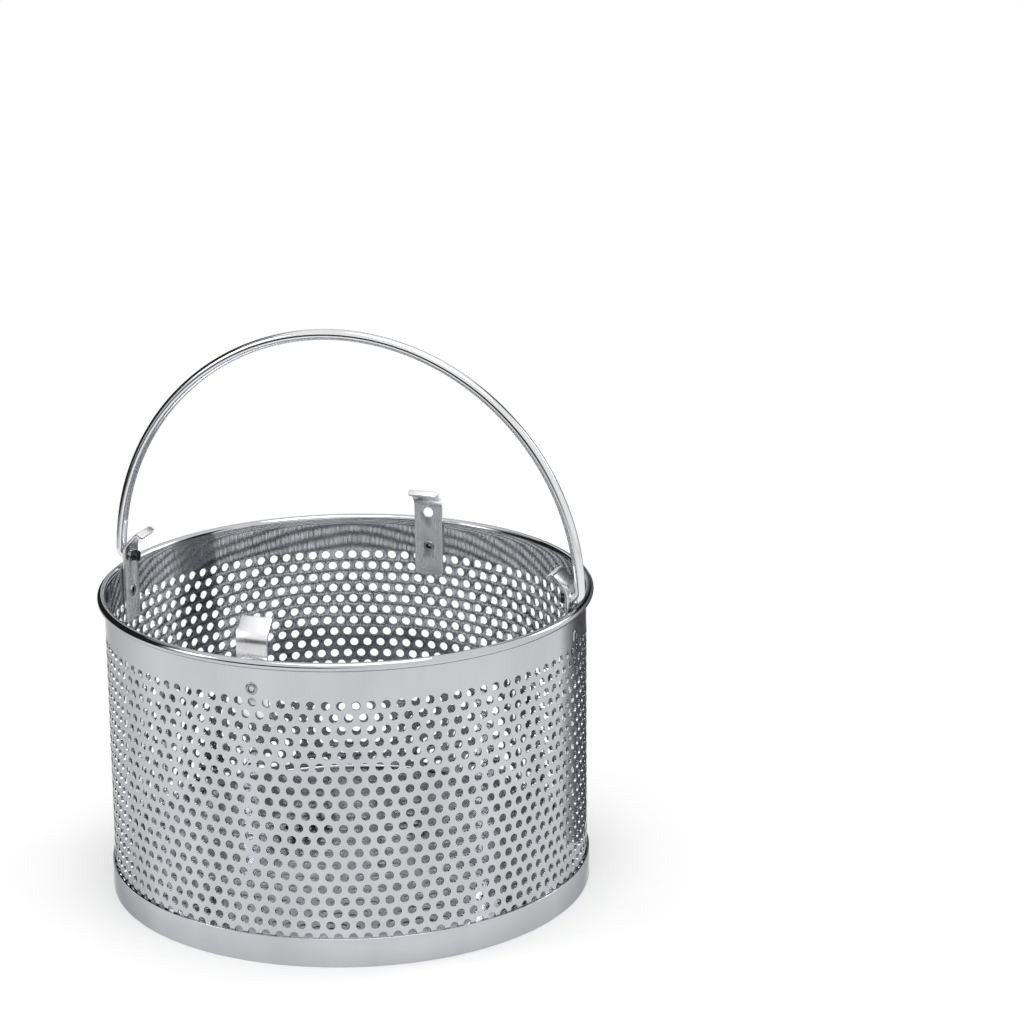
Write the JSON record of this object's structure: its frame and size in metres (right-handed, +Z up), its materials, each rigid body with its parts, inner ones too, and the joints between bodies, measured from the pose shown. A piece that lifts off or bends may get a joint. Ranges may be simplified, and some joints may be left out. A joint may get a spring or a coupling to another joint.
{
  "type": "autoclave basket",
  "caption": "Round perforated stainless steel sterilising basket with a rolled rim, plain base ring, riveted stacking brackets and a swinging bail handle",
  "frame": {"origin": "middle of the circle on which the base ring stands", "axes": "+Z up along the basket's axis, X along the bail's hinge line, Y across it; the rear bracket is at +Y"},
  "size_m": [0.2822, 0.278, 0.3191],
  "materials": {
    "perforated_sheet": "polished stainless sheet",
    "plain_sheet": "polished stainless sheet",
    "bracket": "satin stainless strip",
    "rivet": "bright stainless",
    "rod": "polished stainless rod"
  },
  "bodies": {
    "basket": {"wall": "perforated_sheet", "rim_wire": "rod", "base_ring": "plain_sheet", "bottom": "perforated_sheet", "bracket_right": "bracket", "bracket_left": "bracket", "bracket_rear": "bracket", "bracket_front": "bracket", "rivet_right": "rivet", "rivet_left": "rivet", "rivet_rear": "rivet", "rivet_front": "rivet"},
    "handle": {"bail": "rod"}
  },
  "joints": [
    {"name": "bail_hinge", "type": "hinge", "parent": "basket", "child": "handle", "pos_m": [0, 0, 0.1771], "axis": [1, 0, 0], "range_deg": [-90, 90]}
  ]
}
